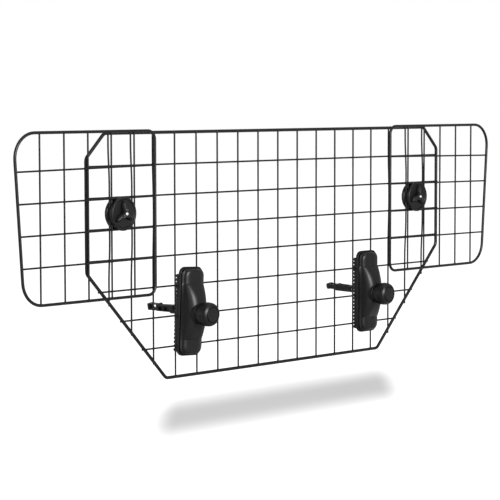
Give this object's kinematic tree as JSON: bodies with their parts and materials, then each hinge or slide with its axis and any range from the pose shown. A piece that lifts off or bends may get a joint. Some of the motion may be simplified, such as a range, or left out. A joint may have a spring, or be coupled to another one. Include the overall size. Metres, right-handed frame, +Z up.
{
  "type": "car dog guard",
  "caption": "Wire mesh dog guard with sliding side panels on disc clamps, held to headrest posts by toothed clamp brackets with knobs and hooks.",
  "frame": {"origin": "midway between the throats of the two hooks, on the height of the studs", "axes": "+X to the guard's right seen from the load space, along the panel; +Y from the mesh towards the headrest posts; +Z up"},
  "size_m": [1.1916, 0.152, 0.4115],
  "materials": {
    "black_coating": "satin black coating on welded steel rod and wire",
    "black_plastic": "fine-grained matt black moulded plastic",
    "zinc_steel": "bright zinc plated steel"
  },
  "bodies": {
    "root": {"main_frame": "black_coating", "main_mesh": "black_coating", "left_clamp_rear_disc": "black_plastic", "left_clamp_bolt": "zinc_steel", "right_clamp_rear_disc": "black_plastic", "right_clamp_bolt": "zinc_steel"},
    "left_panel": {"left_side_frame": "black_coating", "left_side_mesh": "black_coating"},
    "left_clamp_disc": {"left_clamp_front_disc": "black_plastic"},
    "left_clamp_knob": {"left_clamp_grip": "black_plastic", "left_clamp_nut": "zinc_steel"},
    "left_bracket": {"left_jaw_plate": "black_plastic", "left_housing": "black_plastic", "left_lower_screw": "zinc_steel", "left_upper_screw": "zinc_steel"},
    "left_bracket_knob": {"left_knob": "black_plastic", "left_knob_cap": "black_plastic", "left_knob_nut": "zinc_steel"},
    "left_tie": {"left_stud": "zinc_steel"},
    "left_hook_arm": {"left_hook": "black_plastic"},
    "right_panel": {"right_side_frame": "black_coating", "right_side_mesh": "black_coating"},
    "right_clamp_disc": {"right_clamp_front_disc": "black_plastic"},
    "right_clamp_knob": {"right_clamp_grip": "black_plastic", "right_clamp_nut": "zinc_steel"},
    "right_bracket": {"right_jaw_plate": "black_plastic", "right_housing": "black_plastic", "right_lower_screw": "zinc_steel", "right_upper_screw": "zinc_steel"},
    "right_bracket_knob": {"right_knob": "black_plastic", "right_knob_cap": "black_plastic", "right_knob_nut": "zinc_steel"},
    "right_tie": {"right_stud": "zinc_steel"},
    "right_hook_arm": {"right_hook": "black_plastic"}
  },
  "joints": [
    {"name": "left_panel_slide", "type": "slide", "parent": "root", "child": "left_panel", "axis": [-1, 0, 0], "range_m": [-0.016, 0.016]},
    {"name": "left_clamp_knob_turn", "type": "hinge", "parent": "left_clamp_disc", "child": "left_clamp_knob", "pos_m": [-0.3735, -0.085, 0.169], "axis": [0, -1, 0], "range_deg": [0, 1080]},
    {"name": "left_clamp_disc_slide", "type": "slide", "parent": "root", "child": "left_clamp_disc", "axis": [0, -1, 0], "range_m": [0, 0.003]},
    {"name": "left_bracket_slide", "type": "slide", "parent": "root", "child": "left_bracket", "axis": [-1, 0, 0], "range_m": [-0.018, 0.018]},
    {"name": "left_knob_turn", "type": "hinge", "parent": "left_bracket", "child": "left_bracket_knob", "pos_m": [-0.2271, -0.112, -0.0007], "axis": [0, 1, 0], "range_deg": [0, 5760]},
    {"name": "left_stud_slide", "type": "slide", "parent": "left_bracket", "child": "left_tie", "axis": [0, -1, 0], "range_m": [0, 0.016]},
    {"name": "left_hook_turn", "type": "hinge", "parent": "left_tie", "child": "left_hook_arm", "pos_m": [-0.2271, -0.112, -0.0007], "axis": [0, 1, 0], "range_deg": [-90, 90]},
    {"name": "right_panel_slide", "type": "slide", "parent": "root", "child": "right_panel", "axis": [1, 0, 0], "range_m": [-0.016, 0.016]},
    {"name": "right_clamp_knob_turn", "type": "hinge", "parent": "right_clamp_disc", "child": "right_clamp_knob", "pos_m": [0.3735, -0.085, 0.169], "axis": [0, -1, 0], "range_deg": [0, 1080]},
    {"name": "right_clamp_disc_slide", "type": "slide", "parent": "root", "child": "right_clamp_disc", "axis": [0, -1, 0], "range_m": [0, 0.003]},
    {"name": "right_bracket_slide", "type": "slide", "parent": "root", "child": "right_bracket", "axis": [1, 0, 0], "range_m": [-0.018, 0.018]},
    {"name": "right_knob_turn", "type": "hinge", "parent": "right_bracket", "child": "right_bracket_knob", "pos_m": [0.2255, -0.112, 0.0007], "axis": [0, 1, 0], "range_deg": [0, 5760]},
    {"name": "right_stud_slide", "type": "slide", "parent": "right_bracket", "child": "right_tie", "axis": [0, -0.999, -0.0436], "range_m": [0, 0.016]},
    {"name": "right_hook_turn", "type": "hinge", "parent": "right_tie", "child": "right_hook_arm", "pos_m": [0.2255, -0.112, 0.0007], "axis": [0, 0.999, 0.0436], "range_deg": [-90, 90]}
  ],
  "couplings": [
    {"joint": "left_clamp_disc_slide", "follows": "left_clamp_knob_turn", "m_per_rad": 0.00015915},
    {"joint": "left_stud_slide", "follows": "left_knob_turn", "m_per_rad": 0.00015915},
    {"joint": "right_clamp_disc_slide", "follows": "right_clamp_knob_turn", "m_per_rad": 0.00015915},
    {"joint": "right_stud_slide", "follows": "right_knob_turn", "m_per_rad": 0.00015915}
  ]
}
